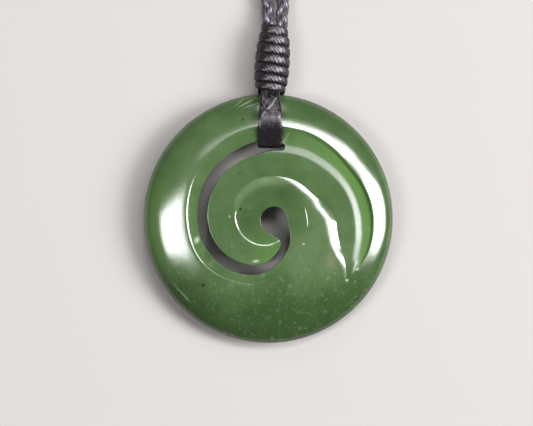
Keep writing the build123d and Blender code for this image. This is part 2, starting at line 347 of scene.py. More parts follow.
def add_attribute(piece, name, values):
    layer = piece.data.attributes.new(name, "FLOAT", "POINT")
    layer.data.foreach_set("value", np.asarray(values, np.float32))


def new_piece(name, points, faces, nodes, material, painted_cord_sheen=0.0):
    """A mesh piece in the row's frame, from places in mm, that stands for CAD nodes."""
    mesh = bpy.data.meshes.new(name)
    mesh.from_pydata((np.asarray(points) * MM).tolist(), [], faces)
    mesh.shade_smooth()
    mesh.materials.append(material)
    piece = bpy.data.objects.new(name, mesh)
    bpy.context.scene.collection.objects.link(piece)
    # Share of painted sheen, which the cord's material reads
    add_attribute(piece, "painted_cord_sheen", np.full(len(points), painted_cord_sheen))
    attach(piece, "root")
    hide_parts(*nodes)
    return piece


# Colours, linear and with alpha
JADE_DARK = (0.015, 0.032, 0.009, 1.0)
JADE_BODY = (0.030, 0.056, 0.019, 1.0)
JADE_PALE = (0.045, 0.073, 0.031, 1.0)
# Painted glow of light through the thin stone, also used for a painted reflection on the left rim
JADE_PAINTED_GLOW = (0.040, 0.086, 0.020, 1.0)
# Pale flecks, also the colour of a painted sheen band
PALE_FLECK_AND_SHEEN = (0.085, 0.125, 0.070, 1.0)
FLECK_DARK = (0.004, 0.005, 0.003, 1.0)
# White specks, and painted glints on scratches and a painted highlight on a chip
WHITE_FLECK_AND_GLINT = (0.22, 0.27, 0.2, 1.0)
FLECK_BEIGE = (0.085, 0.085, 0.048, 1.0)
CORD_BLACK = (0.0030, 0.0026, 0.0028, 1.0)
# Painted sheen of the cord's fibres
CORD_PAINTED_SHEEN = (0.090, 0.076, 0.094, 1.0)
CORD_SHINE = (0.96, 0.9, 1.0, 1.0)

# Scattered flecks: cells in a mm, largest half size as a share of a cell, and the share of
# the cells that may hold one
Flecks = namedtuple("Flecks", "colour per_mm largest chosen")
LARGE_FLECKS = Flecks(PALE_FLECK_AND_SHEEN, 0.7, 0.3, 0.7)
SMALL_FLECKS = Flecks(PALE_FLECK_AND_SHEEN, 1.9, 0.42, 0.8)
DARK_FLECKS = Flecks(FLECK_DARK, 0.33, 0.07, 0.5)
fleck_core = 0.3  # share of a fleck's size that has its full colour
fleck_bend = (1.5, 1.5, 1.5)  # mm that the pale flecks' places are pushed about
dark_fleck_strength = 0.8

# Specks, patches and streaks in the stone that the photograph shows, by colour: middle, half
# length and half width in mm, turn in degrees and strength
Inclusion = namedtuple("Inclusion", "x y length width turn strength")
INCLUSIONS = {
    FLECK_DARK: [
        (-9.87, -10.19, 0.34, 0.27, 20, 0.95),
        (-4.24, 1.40, 0.28, 0.24, 60, 0.8),
        (-4.32, 6.90, 0.26, 0.16, 30, 0.7),
        (14.15, -1.50, 0.22, 0.15, 80, 0.7),
        (-3.86, 14.98, 0.30, 0.22, 10, 0.7),
    ],
    PALE_FLECK_AND_SHEEN: [(-13.3, -11.25, 2.2, 0.16, -48, 0.5), (-12.6, -11.95, 1.0, 0.11, -48, 0.8)],
    FLECK_BEIGE: [(9.57, -6.68, 1.5, 0.8, 80, 0.6)],
    WHITE_FLECK_AND_GLINT: [
        # Painted highlight on a glossy chip
        (-10.88, -3.33, 0.55, 0.42, 70, 0.7),
        (-1.88, -6.53, 0.55, 0.22, 10, 0.8),
        (13.54, -7.75, 0.32, 0.20, 40, 0.8),
        (11.96, -9.43, 0.26, 0.20, 20, 0.8),
        (-5.88, 0.26, 0.16, 0.24, 10, 0.6),
        (5.37, -3.94, 0.18, 0.16, 0, 0.8),
        # Painted glints on scratches near the top
        (-3.3, 17.55, 1.5, 0.08, 28, 0.6),
        (-2.6, 17.15, 1.3, 0.06, 18, 0.5),
        (-4.4, 17.60, 0.9, 0.07, 40, 0.5),
    ],
}
inclusion_edge = (1.3, 0.3)  # shares of its half sizes where it starts and is full
inclusion_depth = 1000.0  # half length up and down, so that it goes right through

streak_stretch = (4.5, 5.0, 1.0)  # of the polish's streaks: across, and along the turn
jade_relief = 0.000007  # metres
cord_relief = 0.00003


# Materials
def add_node(tree, kind, inputs=(), **settings):
    """A shader node. Inputs are pairs of a socket and a value or another node's output."""
    node = tree.nodes.new("ShaderNode" + kind)
    for name, value in settings.items():
        setattr(node, name, value)
    for socket, value in dict(inputs).items():
        if isinstance(value, bpy.types.NodeSocket):
            tree.links.new(value, node.inputs[socket])
        else:
            node.inputs[socket].default_value = value
    return node


def maths(tree, operation, *values):
    return add_node(tree, "Math", enumerate(values), operation=operation).outputs[0]


def vector_maths(tree, operation, *values):
    return add_node(tree, "VectorMath", enumerate(values), operation=operation).outputs["Vector"]


def length(tree, place):
    return add_node(tree, "VectorMath", {0: place}, operation="LENGTH").outputs["Value"]


def spread(tree, value, start, end, low=0.0, high=1.0):
    """Runs evenly from low to high while a value goes from start to end."""
    return add_node(tree, "MapRange", enumerate((value, start, end, low, high))).outputs[0]


def noise(tree, place, scale, detail, roughness=0.5, distortion=0.0):
    inputs = {"Vector": place, "Scale": scale, "Detail": detail}
    inputs |= {"Roughness": roughness, "Distortion": distortion}
    return add_node(tree, "TexNoise", inputs)


def mix(tree, share, colour, other):
    return add_node(tree, "Mix", {0: share, 6: colour, 7: other}, data_type="RGBA").outputs[2]


def bump(tree, height, distance, under=()):
    inputs = {"Strength": 1.0, "Distance": distance, "Height": height, **dict(under)}
    return add_node(tree, "Bump", inputs).outputs["Normal"]


def attribute(tree, name):
    return add_node(tree, "Attribute", attribute_name=name).outputs["Fac"]


def millimetres(tree):
    """Places on a piece, in mm."""
    place = add_node(tree, "TexCoord").outputs["Object"]
    return add_node(tree, "VectorMath", {0: place, 3: 1 / MM}, operation="SCALE").outputs["Vector"]


def new_material(name, surface_inputs):
    """A material with one surface, whose inputs a function makes."""
    material = bpy.data.materials.new(name)
    material.use_nodes = True
    tree = material.node_tree
    tree.nodes.clear()
    surface = add_node(tree, "BsdfPrincipled", surface_inputs(tree))
    add_node(tree, "OutputMaterial", {"Surface": surface.outputs["BSDF"]})
    return material


def inclusion(tree, place, colour, other, row):
    """Lays a speck, a patch or a streak of another colour over a colour."""
    inputs = {
        "Vector": place,
        "Location": (row.x, row.y, 0),
        "Rotation": (0, 0, radians(row.turn)),
        "Scale": (row.length, row.width, inclusion_depth),
    }
    here = add_node(tree, "Mapping", inputs, vector_type="TEXTURE").outputs["Vector"]
    share = spread(tree, length(tree, here), *inclusion_edge, 0.0, row.strength)
    return mix(tree, share, colour, other)


def flecks(tree, place, colour, row, strength):
    """Scatters flecks over a colour. The strength is a number or a node's output."""
    inputs = {"Vector": place, "Scale": row.per_mm, "Randomness": 1.0}
    cells = add_node(tree, "TexVoronoi", inputs).outputs
    near = spread(tree, cells["Distance"], row.largest, fleck_core * row.largest)
    draw = add_node(tree, "SeparateColor", {0: cells["Color"]}).outputs[0]
    picked = spread(tree, draw, 1 - row.chosen, 1.0)
    share = maths(tree, "MULTIPLY", maths(tree, "MULTIPLY", near, picked), strength)
    return mix(tree, share, colour, row.colour)


def jade_surface(tree):
    """Clouded and flecked stone with painted shade, glow, sheen and glints, polished, with a satin
    edge along the arm.
    """
    place = millimetres(tree)
    clouds = noise(tree, place, 0.22, 6, 0.62, 0.6).outputs["Fac"]
    # The tone carries painted shade towards the rim and the bottom, and a painted reflection on
    # the left rim.
    tone = maths(tree, "MULTIPLY_ADD", attribute(tree, "tone_and_shade"), 0.5, clouds)
    tones = add_node(tree, "ValToRGB", {"Fac": tone})
    stops = tones.color_ramp.elements
    stops[0].position = 0.1
    stops[0].color = JADE_PALE
    stops[1].position = 0.95
    stops[1].color = JADE_DARK
    stops.new(0.5).color = JADE_BODY
    # Painted glow of light through the thin stone, and a painted reflection on the left rim
    colour = mix(tree, attribute(tree, "glow"), tones.outputs["Color"], JADE_PAINTED_GLOW)
    # A painted sheen band over the top left, broken up by the clouds
    patches = spread(tree, clouds, 0.3, 0.7, 0.0, 0.8)
    painted_sheen_band_share = maths(tree, "MULTIPLY", attribute(tree, "painted_sheen_band"), patches)
    colour = mix(tree, painted_sheen_band_share, colour, PALE_FLECK_AND_SHEEN)

    # Pale flecks are bent about and lie mostly in the lower half.
    low = add_node(tree, "SeparateXYZ", {0: place}).outputs["Y"]
    flecked = spread(tree, low, 4.0, -7.0, 0.1, 0.4)
    push = noise(tree, place, 1.6, 3).outputs["Color"]
    bent = vector_maths(tree, "MULTIPLY_ADD", push, fleck_bend, place)
    colour = flecks(tree, bent, colour, LARGE_FLECKS, flecked)
    colour = flecks(tree, bent, colour, SMALL_FLECKS, flecked)
    colour = flecks(tree, place, colour, DARK_FLECKS, dark_fleck_strength)
    for other, rows in INCLUSIONS.items():
        for row in rows:
            colour = inclusion(tree, place, colour, other, Inclusion(*row))

    # The polish has a fine grain and streaks that follow the turn round the hole.
    grain = noise(tree, place, 3.0, 4, 0.7).outputs["Fac"]
    from_hole_centre = vector_maths(tree, "SUBTRACT", place, (hole_offset, 0, 0))
    apart = add_node(tree, "SeparateXYZ", {0: from_hole_centre}).outputs
    turn = maths(tree, "ARCTAN2", apart["Y"], apart["X"])
    polar = add_node(tree, "CombineXYZ", {0: length(tree, from_hole_centre), 1: turn})
    stretched = vector_maths(tree, "MULTIPLY", polar.outputs[0], streak_stretch)
    streaks = noise(tree, stretched, 1.0, 4, 0.65).outputs["Fac"]
    fine = bump(tree, grain, jade_relief)
    return {
        "Base Color": colour,
        "Roughness": spread(tree, attribute(tree, "satin"), 0.0, 1.0, 0.13, 0.46),
        "Normal": bump(tree, streaks, jade_relief, {"Normal": fine}),
        "IOR": 1.62,
        "Subsurface Weight": 0.25,
        "Subsurface Radius": (0.7, 1.2, 0.5),
        "Subsurface Scale": MM,
    }


def cord_surface(tree):
    """Black waxed cord, with more or less painted sheen."""
    place = millimetres(tree)
    wax = noise(tree, place, 2.6, 5, 0.7).outputs["Fac"]
    # How much painted sheen, patchy with the wax
    share = maths(tree, "MULTIPLY", wax, attribute(tree, "painted_cord_sheen"))
    fibres = noise(tree, place, 5.5, 4, 0.7).outputs["Fac"]
    return {
        "Base Color": mix(tree, share, CORD_BLACK, CORD_PAINTED_SHEEN),
        "Roughness": spread(tree, wax, 0.35, 0.65, 0.15, 0.38),
        "Normal": bump(tree, fibres, cord_relief),
        "IOR": 1.52,
        "Specular Tint": CORD_SHINE,
    }


jade = new_material("jade", jade_surface)
waxed_cord = new_material("waxed_cord", cord_surface)


# Stone
FIRST_ANGLE, *_, LAST_ANGLE = RELIEF_LINES.angle


def past_flat(x, y, flat_radius):
    """How far out a place lies between a side's flat and the rim, from 0 to 1."""
    past = np.maximum(0, np.hypot(x, y) - flat_radius)
    return np.minimum(1, past / (disc_radius - flat_radius))


def face_height(x, y):
    """Height of the uncut face over the back."""
    share = past_flat(x, y, face_flat_radius)
    return rim_height + (disc_thickness - rim_height) * np.sqrt(1 - share**2)


def back_surface(x, y):
    """Height of the back, which turns up to the rim."""
    share = past_flat(x, y, back_flat_radius)
    return rim_height * (1 - np.sqrt(1 - share**2))


def from_hole(angles, radii):
    """Places on the stone given by angle (degrees) and radius (mm) round the hole's centre."""
    turned = np.radians(angles)
    return hole_offset + radii * np.cos(turned), radii * np.sin(turned)


def round_hole(x, y):
    """Angles and radii round the hole's centre, from the first row's angle on."""
    angles = np.degrees(np.arctan2(y, x - hole_offset))
    return (angles - FIRST_ANGLE) % 360 + FIRST_ANGLE, np.hypot(x - hole_offset, y)


def columns_at(angles, rows):
    """The columns of a table at some angles, each on a cubic between its rows."""
    return [smooth_table(rows.angle, values, angles) for values in rows[1:]]


def relief_lines(angles):
    """Radii in mm of the relief's lines at some angles. The last sector has only its ends'."""
    radii = [angles]
    for rows, cut in zip(RELIEF_LINES[1:], columns_at(angles, RELIEF_LINES)):
        bare = np.interp(angles, [LAST_ANGLE, FIRST_ANGLE + 360], [rows[-1], rows[0]])
        radii.append(disc_radius * np.where(angles > LAST_ANGLE, bare, cut))
    return Lines(*radii)


def arm_edges(line):
    """Radii where the arm's rounded edge begins and ends."""
    inside_arm = np.minimum(arm_edge_inside, arm_edge_share * (line.arm - line.fold))
    outside_arm = np.minimum(arm_edge_outside, arm_edge_share * (line.foot - line.arm))
    return line.arm - inside_arm, line.arm + outside_arm


def bend(radii, start, end, start_height, end_height, start_slope, end_slope):
    """Height on a cubic between two lines, with its slope at each."""
    span = end - start
    t = np.clip((radii - start) / span, 0, 1)
    return cubic(t, span, start_height, end_height, start_slope, end_slope)


def carved_height(x, y):
    """Height of the carved face over the back."""
    angles, radii = round_hole(x, y)
    line = relief_lines(angles)
    arm_start, arm_end = arm_edges(line)
    depths = [disc_thickness * share for share in columns_at(angles, RELIEF_CUTS)]
    foot_cut, arm_cut, dish_cut, lip = depths
    slopes = columns_at(angles, RELIEF_SLOPES)
    arm_slope, fold_slope, brow_slope, bowl_slope, crest = slopes
    uncut = face_height(x, y)

    # The dish and the stem are depths below the face. They deepen outwards on an even bend.
    brow_cut = dish_cut + brow_slope / 2 * (line.brow - line.dish)
    fold_cut = brow_cut + (fold_slope + brow_slope) / 2 * (line.fold - line.brow)
    past_lip = np.clip((line.dish - radii) / lip_width, 0, 1)
    bowl = dish_cut + lip * past_lip**2 * (3 - 2 * past_lip) + bowl_slope * (line.dish - radii)
    crown = bend(radii, line.dish, line.brow, dish_cut, brow_cut, 0, brow_slope)
    shoulder = bend(radii, line.brow, line.fold, brow_cut, fold_cut, brow_slope, fold_slope)

    # The arm and the ring are heights.
    cuts = ((line.ring, 0), (line.foot, foot_cut), (line.arm, arm_cut), (line.fold, fold_cut))
    ring, foot, arm, fold = (
        face_height(*from_hole(angles, radius)) - cut for radius, cut in cuts
    )
    near_edge = arm + (arm_slope + arm_edge_slope) / 2 * (line.arm - arm_start)
    far_width = arm_end - line.arm
    floor_slope = (arm - arm_slope * far_width / 2 - foot) / (line.foot - arm_end + far_width / 2)
    far_edge = foot + floor_slope * (line.foot - arm_end)
    scoop = bend(radii, line.fold, arm_start, fold, near_edge, 0, -arm_edge_slope)
    near_side = bend(radii, arm_start, line.arm, near_edge, arm, -arm_edge_slope, -arm_slope)
    far_side = bend(radii, line.arm, arm_end, arm, far_edge, -arm_slope, -floor_slope)
    floor = foot + floor_slope * (line.foot - radii)
    # Where the slit runs between the arm and the ring, the floor follows the face.
    beyond_slit = fade(angles, *slit_start)
    floor = beyond_slit * (uncut - foot_cut) + (1 - beyond_slit) * floor
    bevel_slope = (ring - foot) / (line.ring - line.foot)
    bevel = foot + bevel_slope * (radii - line.foot)
    edges = (line.dish, line.brow, line.fold, arm_start, line.arm, arm_end, line.foot, line.ring)
    inner = [uncut - bowl, uncut - crown, uncut - shoulder]
    outer = [scoop, near_side, far_side, floor, bevel]
    carved = np.select([radii < edge for edge in edges], inner + outer, uncut)
    bent = np.clip(bevel_slope + dome_slope, 0, steepest_crest)
    turn = bent * np.clip(foot_cut / full_crest_cut, 0, 1)
    rounded = turn * np.maximum(0, crest - np.abs(radii - line.ring)) ** 2 / (4 * crest)
    return np.where(angles > LAST_ANGLE, uncut, np.minimum(uncut, carved) - rounded)


def wall_line(wall):
    """Points of a wall, a degree apart."""
    order = np.argsort(wall.angle)
    turns = np.arange(min(wall.angle), max(wall.angle) + 0.5, 1.0)
    radii = smooth_table(wall.angle[order], wall.radius[order] * disc_radius, turns)
    line = np.stack(from_hole(turns, radii), axis=1)
    return line if order[0] == 0 else line[::-1]


def opening_loop():
    """The opening's wall as one closed loop, anticlockwise, with its corners rounded."""
    walls = np.vstack([wall_line(OUTER_WALL), wall_line(INNER_WALL)])
    loop = even_points(walls, wall_spacing, closed=True)
    for _ in range(corner_passes):
        loop = (np.roll(loop, 1, axis=0) + 2 * loop + np.roll(loop, -1, axis=0)) / 4
    x, y = loop.T
    area = np.sum(x * np.roll(y, -1) - y * np.roll(x, -1))
    return loop if area > 0 else loop[::-1]


def inside(points, loop):
    """Which points lie inside a closed loop."""
    x, y = points.T
    found = np.zeros(len(points), bool)
    for (x0, y0), (x1, y1) in zip(loop, np.roll(loop, -1, axis=0)):
        if y0 != y1:
            beyond = x < x0 + (y - y0) * (x1 - x0) / (y1 - y0)
            found ^= (y >= min(y0, y1)) & (y < max(y0, y1)) & beyond
    return found


def distances(points, loop):
    """Distance of each point to a closed loop."""
    line = even_points(loop, close_spacing, closed=True)
    tree = KDTree(len(line))
    for index, (x, y) in enumerate(line):
        tree.insert((x, y, 0), index)
    tree.balance()
    return np.array([tree.find((x, y, 0))[2] for x, y in points])


def triangles(points, edges, loop_ids, loop):
    """Triangles between the points that keep the edges, apart from those in the opening."""
    _, _, faces, origins, _, _ = delaunay_2d_cdt(
        [Vector(place) for place in points], edges, [], 0, merge_distance
    )
    faces = np.array([origin[0] for origin in origins])[np.array(faces)]
    doubtful = np.flatnonzero(np.isin(faces, loop_ids).all(axis=1))
    middles = points[faces[doubtful]].mean(axis=1)
    faces = np.delete(faces, doubtful[inside(middles, loop)], axis=0)
    a, b, c = (points[faces[:, corner]] for corner in range(3))
    turned = (b[:, 0] - a[:, 0]) * (c[:, 1] - a[:, 1]) < (b[:, 1] - a[:, 1]) * (c[:, 0] - a[:, 0])
    faces[turned] = faces[turned][:, ::-1]
    return faces


def beside_wall(loop, offsets):
    """Rows of points outside a closed loop, at some distances from it."""
    ahead = np.roll(loop, -1, axis=0) - np.roll(loop, 1, axis=0)
    outwards = unit(np.stack([ahead[:, 1], -ahead[:, 0]], axis=1))
    rows = []
    for offset in offsets:
        row = loop + outwards * offset
        rows.append(row[distances(row, loop) > least_row_share * offset])
    return rows


Side = namedtuple("Side", "points faces creases loop_ids rim_ids to_wall")


def flat_side(grid, creases, loop, rim, offsets, clearance):
    """One side of the stone seen flat: its grid, rows beside the wall, the wall and the rim."""
    keep = (distances(grid, loop) > clearance) & ~inside(grid, loop)
    new_ids = np.cumsum(keep) - 1
    parts = [grid[keep]] + beside_wall(loop, offsets)
    count = sum(len(part) for part in parts)
    loop_ids = count + np.arange(len(loop))
    rim_ids = count + len(loop) + np.arange(len(rim))
    points = np.vstack(parts + [loop, rim])
    creases = [(int(new_ids[a]), int(new_ids[b])) for a, b in creases if keep[a] and keep[b]]
    edges = list(creases)
    for ids in (loop_ids, rim_ids):
        edges += zip(ids.tolist(), np.roll(ids, -1).tolist())
    faces = triangles(points, edges, loop_ids, loop)
    to_wall = distances(points, loop)
    to_wall[loop_ids] = 0
    return Side(points, faces, creases, loop_ids, rim_ids, to_wall)


def ray_radius(angles, disc_radii):
    """Radius round the hole's centre at which a ray reaches a radius round the disc's."""
    turned = np.radians(angles)
    across = hole_offset * np.sin(turned)
    return np.sqrt(disc_radii**2 - across**2) - hole_offset * np.cos(turned)


def relief_rows(angles):
    """Radii of the grid's rows, closer where the relief bends, and the numbers of its creases."""
    line = relief_lines(angles)
    arm_start, arm_end = arm_edges(line)
    lip = np.minimum(lip_width, lip_row_share * (line.dish - hub_radius))
    crest = columns_at(angles, RELIEF_SLOPES)[-1]
    crest = np.minimum(crest, row_share * (line.ring - line.foot))
    beside_fold = np.minimum(fold_row_gap, row_share * (line.fold - line.brow))
    # Where each band of rows ends, and how many rows it has
    bands = [
        (line.dish - lip, 9), (line.dish, 5), (line.brow, 6), (line.fold - beside_fold, 10),
        (line.fold, 1), (line.fold + beside_fold, 1), (arm_start, 9), (line.arm, 8),
        (arm_end, 7), (line.foot, 7), (line.ring - crest, 6), (line.ring, 4),
        (line.ring + crest, 4),
    ]
    start = np.full(len(angles), hub_radius)
    rows, creases = [start], []
    for end, steps in bands:
        rows += [start + (end - start) * step / steps for step in range(1, steps + 1)]
        if end is line.fold or end is line.foot:
            creases.append(len(rows) - 1)
        start = end
    # Outside the ring the rows are evenly apart along the round face.
    past = np.hypot(*from_hole(angles, start)) - face_flat_radius
    turned = np.arcsin(past / (disc_radius - face_flat_radius))
    for step in range(1, rim_steps):
        along = turned + (pi / 2 - turned) * step / rim_steps
        radii = face_flat_radius + (disc_radius - face_flat_radius) * np.sin(along)
        rows.append(ray_radius(angles, radii))
    return rows, creases


def face_grid(angles):
    """Points of the face's grid, with fewer columns near the hole, and its creases' edges."""
    rows, crease_rows = relief_rows(angles)
    grid, creases = [], []
    for number, row in enumerate(rows):
        radius = row.mean()
        stride = 1 if radius > full_columns_radius else 2 if radius > half_columns_radius else 4
        places = np.stack(from_hole(angles, row), axis=1)[::stride]
        if number in crease_rows:
            ids = len(grid) + np.arange(len(places))
            creases += zip(ids.tolist(), np.roll(ids, -1).tolist())
        grid.extend(places)
    return np.array(grid), creases


def back_grid():
    """Points of the back's grid, in rings."""
    flat = back_flat_radius * np.arange(1, back_flat_rings + 1) / back_flat_rings
    turned = np.sin(pi / 2 * np.arange(1, back_turned_rings) / back_turned_rings)
    rings = []
    for radius in [*flat, *(back_flat_radius + (disc_radius - back_flat_radius) * turned)]:
        count = max(back_least_points, int(2 * pi * radius / back_spacing))
        if radius > back_flat_radius:
            count = back_turned_points
        turns = np.arange(count) * 2 * pi / count
        rings.append(radius * np.stack([np.cos(turns), np.sin(turns)], axis=1))
    return np.vstack(rings)


def rounding(to_wall, size):
    """How far a rounded edge lies below its surface."""
    near = np.clip(size - to_wall, 0, size)
    return size - np.sqrt(size**2 - near**2)


def jade_disc():
    loop = opening_loop()
    angles = FIRST_ANGLE + np.arange(columns) * 360 / columns
    rim = np.stack(from_hole(angles, ray_radius(angles, disc_radius)), axis=1)
    grid, creases = face_grid(angles)
    face = flat_side(grid, creases, loop, rim, face_wall_rows, face_grid_gap)
    back = flat_side(back_grid(), [], loop, rim, back_wall_rows, back_grid_gap)
    face_z = carved_height(*face.points.T) - rounding(face.to_wall, edge_round)
    face_z[face.rim_ids] = rim_height
    back_z = back_surface(*back.points.T) + rounding(back.to_wall, back_edge_round)

    # Points and faces: the face, the back, which shares the rim, and the wall between them
    parts = [on_stone(*face.points.T, face_z), on_stone(*back.points.T, back_z)]
    back_ids = len(face.points) + np.arange(len(back.points))
    back_ids[back.rim_ids] = face.rim_ids
    faces = face.faces.tolist() + back_ids[back.faces][:, ::-1].tolist()
    rings = [face.loop_ids]
    for share in wall_levels:
        height = face_z[face.loop_ids] * (1 - share) + back_z[back.loop_ids] * share
        rings.append(sum(len(part) for part in parts) + np.arange(len(loop)))
        parts.append(on_stone(*loop.T, height))
    rings.append(back_ids[back.loop_ids])
    for upper, lower in zip(rings, rings[1:]):
        faces += np.stack([upper, np.roll(upper, -1), np.roll(lower, -1), lower], 1).tolist()
    points = np.vstack(parts)

    # The back's own rim points, which no face uses, are left out.
    used = np.isin(np.arange(len(points)), np.concatenate(faces))
    new_ids = np.cumsum(used) - 1
    faces = [new_ids[corners].tolist() for corners in faces]
    piece = new_piece("jade_disc", points[used], faces, ["koru_disc"], jade)

    # What the material reads: down the wall it is as on the face's edge.
    x, y = np.vstack([face.points, back.points]).T
    for share_of in (tone_and_shade, glow, satin, painted_sheen_band):
        values = share_of(x, y)
        wall_values = np.resize(values[face.loop_ids], len(points) - len(x))
        add_attribute(piece, share_of.__name__, np.append(values, wall_values)[used])

    # Creases and the opening's edge on the face stay sharp.
    sharp = {tuple(sorted((new_ids[a], new_ids[b]))) for a, b in face.creases}
    edge_ids = new_ids[face.loop_ids]
    sharp |= {tuple(sorted(pair)) for pair in zip(edge_ids, np.roll(edge_ids, -1))}
    for edge in piece.data.edges:
        edge.use_edge_sharp = tuple(sorted(edge.vertices)) in sharp


# Spots where the stone's tone is paler, one of them a painted reflection on the left rim, and the
# painted reflection that makes that rim glow: middle and reach in mm, and strength
Spot = namedtuple("Spot", "x y reach strength")
PALE_SPOTS = [
    Spot(7.0, -6.0, 4.0, 0.9),
    Spot(-5.5, -10.0, 3.0, 0.7),
    # Painted reflection on the left rim
    Spot(-19.0, 0.0, 4.0, 1.1),
    Spot(-11.0, 11.0, 4.5, 0.5),
]
RIM_PAINTED_REFLECTION = Spot(-19.0, 0.0, 4.5, 0.6)

# Painted shade towards the rim and the bottom, and a darker tone round the hole: strength, and the
# mm over which they come in or, round the hole, go out
Tone = namedtuple("Tone", "strength start end")
RIM_PAINTED_SHADE = Tone(0.33, 10.5, 17.5)
LOW_PAINTED_SHADE = Tone(0.9, 5.5, 14.0)
HOLE_TONE = Tone(0.4, 3.5, 6.5)

# Fades over degrees round the hole, and over mm from a line or from the hole's centre
channel_in = (-41, -20)
channel_dims = Tone(0.7, 40, 80)
channel_out = Tone(0.3, 90, 130)
channel_edge = 1.0
ring_edge = 0.1
curl_in = (215, 262)
curl_past_wall = (0.2, 0.4)
curl_from_hole = (2.0, 4.2)
curl_strength = 0.65
# Where the painted sheen band lies
painted_sheen_band_in = (60, 100)
painted_sheen_band_out = (150, 180)
painted_sheen_band_in_dish = 0.5
painted_sheen_band_edge = 0.3
satin_width = 0.6  # of the arm's duller edge
satin_start = -34
satin_end = 100
satin_fade = 14


def spot_share(x, y, spot):
    """A spot's strength at a place."""
    square = (x - spot.x) ** 2 + (y - spot.y) ** 2
    return spot.strength * np.exp(-square / (2 * spot.reach**2))


def tone_share(values, tone):
    """A tone's strength at some distances or angles."""
    return tone.strength * fade(values, tone.start, tone.end)


def tone_and_shade(x, y):
    """Tone of the stone and painted shade: dark above 0, with painted shade towards the rim and
    the bottom, and pale below it, where one spot is a painted reflection on the left rim.
    """
    from_hole_centre = np.hypot(x - hole_offset, y)
    # Painted shade towards the rim and the bottom, and a darker tone round the hole
    dark = tone_share(np.hypot(x, y), RIM_PAINTED_SHADE) + tone_share(-y, LOW_PAINTED_SHADE)
    dark += HOLE_TONE.strength - tone_share(from_hole_centre, HOLE_TONE)
    # Paler spots, one of them a painted reflection on the left rim
    pale = sum(spot_share(x, y, spot) for spot in PALE_SPOTS)
    return np.clip(dark - pale, -1, 1)


def glow(x, y):
    """Painted glow where light comes through the thin stone, in the channel and the curl, and a
    painted reflection on the left rim.
    """
    angles, radii = round_hole(x, y)
    line = relief_lines(angles)
    channel = fade(radii, line.arm, line.arm + channel_edge)
    channel *= 1 - fade(radii, line.ring - ring_edge, line.ring)
    channel *= fade(angles, *channel_in)
    channel *= 1 - tone_share(angles, channel_dims) - tone_share(angles, channel_out)
    wall = np.interp(angles, INNER_WALL.angle[::-1], INNER_WALL.radius[::-1])
    past_wall = radii - disc_radius * wall
    curl = fade(angles, *curl_in) * (1 - fade(past_wall, *curl_past_wall))
    curl *= fade(radii, *curl_from_hole) * (angles <= LAST_ANGLE)
    # The rim's share is a painted reflection
    return np.clip(channel + curl_strength * curl + spot_share(x, y, RIM_PAINTED_REFLECTION), 0, 1)


def painted_sheen_band(x, y):
    """A painted sheen: the faint pale band between the dish's edge and the fold, over the top
    left.
    """
    angles, radii = round_hole(x, y)
    line = relief_lines(angles)
    band = fade(radii, line.dish - painted_sheen_band_in_dish, line.brow)
    band *= 1 - fade(radii, line.fold - painted_sheen_band_edge, line.fold)
    return band * fade(angles, *painted_sheen_band_in) * (1 - fade(angles, *painted_sheen_band_out))


def satin(x, y):
    """How much of the duller finish of the arm's edge a place has."""
    angles, radii = round_hole(x, y)
    from_arm = (radii - relief_lines(angles).arm) / satin_width
    start = np.clip((angles - satin_start) / satin_fade, 0, 1)
    end = np.clip((satin_end - angles) / satin_fade, 0, 1)
    return start * end * np.exp(-(from_arm**2))


jade_disc()


# Swept strands: how many sides a section has, how far a share under 1 squares it, and its
# lobes' number, depth as a share and turn in radians a mm
Section = namedtuple("Section", "sides flat lobes depth lay")
TURN_SECTION = Section(64, 0.85, 8, 0.3, -1.5)
CORE_SECTION = Section(32, 1.0, 0, 0.0, 0.0)
BODY_SECTION = Section(24, 0.5, 0, 0.0, 0.0)
STRAND_SECTION = Section(20, 1.0, 4, 0.1, 1.6)
PLAIT_SECTION = Section(18, 1.0, 6, 0.14, 0.9)


def squared(values, flat):
    return np.sign(values) * np.abs(values) ** flat


def sweep(line, across, wide, high, section):
    """A closed tube along a line, as points and faces.

    across is its sideways direction, and wide and high are its half sizes.
    """
    ahead = unit(np.gradient(line, axis=0))
    across = unit(across - ahead * np.sum(across * ahead, axis=1)[:, None])
    up = np.cross(across, ahead)
    turns = np.arange(section.sides) * 2 * pi / section.sides
    over = squared(np.cos(turns), section.flat)
    above = squared(np.sin(turns), section.flat)
    wide, high = np.reshape(wide, (-1, 1)), np.reshape(high, (-1, 1))
    laid = turns - section.lay * lengths_along(line)[:, None]
    swell = 1 - section.depth * (1 - np.abs(np.cos(section.lobes / 2 * laid)))
    sideways = (wide * swell * over)[:, :, None] * across[:, None, :]
    upwards = (high * swell * above)[:, :, None] * up[:, None, :]
    points = (line[:, None, :] + sideways + upwards).reshape(-1, 3)
    ids = np.arange(len(points)).reshape(-1, section.sides)
    beside = np.roll(ids, -1, axis=1)
    corners = [ids[:-1], beside[:-1], beside[1:], ids[1:]]
    faces = np.stack(corners, axis=2).reshape(-1, 4).tolist()
    return points, faces + [ids[0, ::-1].tolist(), ids[-1].tolist()]


def cord_piece(name, parts, node, painted_cord_sheen):
    """One piece of waxed cord from several tubes."""
    points, faces, start = [], [], 0
    for some_points, some_faces in parts:
        points.append(some_points)
        faces += [[index + start for index in face] for face in some_faces]
        start += len(some_points)
    new_piece(name, np.vstack(points), faces, [node], waxed_cord, painted_cord_sheen)


# Binding
turn_height = 0.42  # half the thickness of a turn
turn_width = 0.54  # half the width of a turn, as a share of the way to the next
turn_steps = 110  # rings of points in each turn
end_turn = 0.35  # how far the cord runs on past its first and last crown
# Painted sheen of the binding
binding_painted_cord_sheen = 0.05
# Places along the binding and the radius of its core there
BINDING_CORE = [
    (0.3, 1.5), (0.6, 1.75), (1.0, 1.85), (2.0, 1.9), (8.0, 1.9), (9.6, 1.7), (10.0, 1.3),
]


